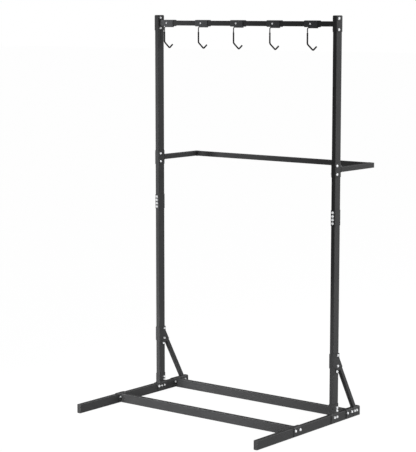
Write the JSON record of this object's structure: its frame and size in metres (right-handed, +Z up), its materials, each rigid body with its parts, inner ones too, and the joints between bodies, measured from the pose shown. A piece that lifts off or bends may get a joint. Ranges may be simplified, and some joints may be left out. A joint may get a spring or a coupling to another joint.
{
  "type": "vertical bike stand",
  "caption": "Free-standing steel rack that holds bicycles upright: bolted posts on long feet, braces, crossbars, a guard frame, and a top bar with sliding wheel hooks.",
  "frame": {"origin": "on the floor, at the middle of the stand's width and depth", "axes": "+Z up, -Y towards the front where the long ends of the feet point, +X to the right seen from the front"},
  "size_m": [1.1248, 0.938, 1.95],
  "materials": {
    "frame_coat": "satin charcoal powder coat with a fine texture",
    "hook_coat": "satin grey powder coat",
    "zinc": "bright zinc plating",
    "plug_plastic": "matt black moulded plastic",
    "hook_rubber": "matt black rubber"
  },
  "bodies": {
    "stand": {"foot_left": "frame_coat", "post_shoe_left": "frame_coat", "lower_post_left": "frame_coat", "upper_post_left": "frame_coat", "splice_collar_left": "frame_coat", "brace_left": "frame_coat", "guard_arm_left": "frame_coat", "foot_front_plug_left": "plug_plastic", "foot_rear_plug_left": "plug_plastic", "post_plug_left": "plug_plastic", "guard_plug_left": "plug_plastic", "foot_right": "frame_coat", "post_shoe_right": "frame_coat", "lower_post_right": "frame_coat", "upper_post_right": "frame_coat", "splice_collar_right": "frame_coat", "brace_right": "frame_coat", "guard_arm_right": "frame_coat", "foot_front_plug_right": "plug_plastic", "foot_rear_plug_right": "plug_plastic", "post_plug_right": "plug_plastic", "guard_plug_right": "plug_plastic", "crossbar_front": "frame_coat", "crossbar_rear": "frame_coat", "top_bar": "frame_coat", "guard_rear_bar": "frame_coat", "splice_bolt_left_1": "zinc", "splice_bolt_left_2": "zinc", "splice_bolt_left_3": "zinc", "splice_bolt_left_4": "zinc", "guard_bolt_left_1": "zinc", "guard_bolt_left_2": "zinc", "top_bar_bolt_left_1": "zinc", "top_bar_bolt_left_2": "zinc", "shoe_screw_left": "zinc", "splice_bolt_right_1": "zinc", "splice_bolt_right_2": "zinc", "splice_bolt_right_3": "zinc", "splice_bolt_right_4": "zinc", "guard_bolt_right_1": "zinc", "guard_bolt_right_2": "zinc", "top_bar_bolt_right_1": "zinc", "top_bar_bolt_right_2": "zinc", "shoe_screw_right": "zinc"},
    "sliding_hook_1": {"hook_1": "hook_coat", "hook_1_cover": "hook_rubber", "hook_1_screw": "zinc"},
    "sliding_hook_2": {"hook_2": "hook_coat", "hook_2_cover": "hook_rubber", "hook_2_screw": "zinc"},
    "sliding_hook_3": {"hook_3": "hook_coat", "hook_3_cover": "hook_rubber", "hook_3_screw": "zinc"},
    "sliding_hook_4": {"hook_4": "hook_coat", "hook_4_cover": "hook_rubber", "hook_4_screw": "zinc"},
    "sliding_hook_5": {"hook_5": "hook_coat", "hook_5_cover": "hook_rubber", "hook_5_screw": "zinc"}
  },
  "joints": [
    {"name": "hook_1_slide", "type": "slide", "parent": "stand", "child": "sliding_hook_1", "axis": [1, 0, 0], "range_m": [-0.009, 0.072]},
    {"name": "hook_2_slide", "type": "slide", "parent": "stand", "child": "sliding_hook_2", "axis": [1, 0, 0], "range_m": [-0.072, 0.072]},
    {"name": "hook_3_slide", "type": "slide", "parent": "stand", "child": "sliding_hook_3", "axis": [1, 0, 0], "range_m": [-0.072, 0.072]},
    {"name": "hook_4_slide", "type": "slide", "parent": "stand", "child": "sliding_hook_4", "axis": [1, 0, 0], "range_m": [-0.072, 0.072]},
    {"name": "hook_5_slide", "type": "slide", "parent": "stand", "child": "sliding_hook_5", "axis": [1, 0, 0], "range_m": [-0.072, 0.088]}
  ]
}
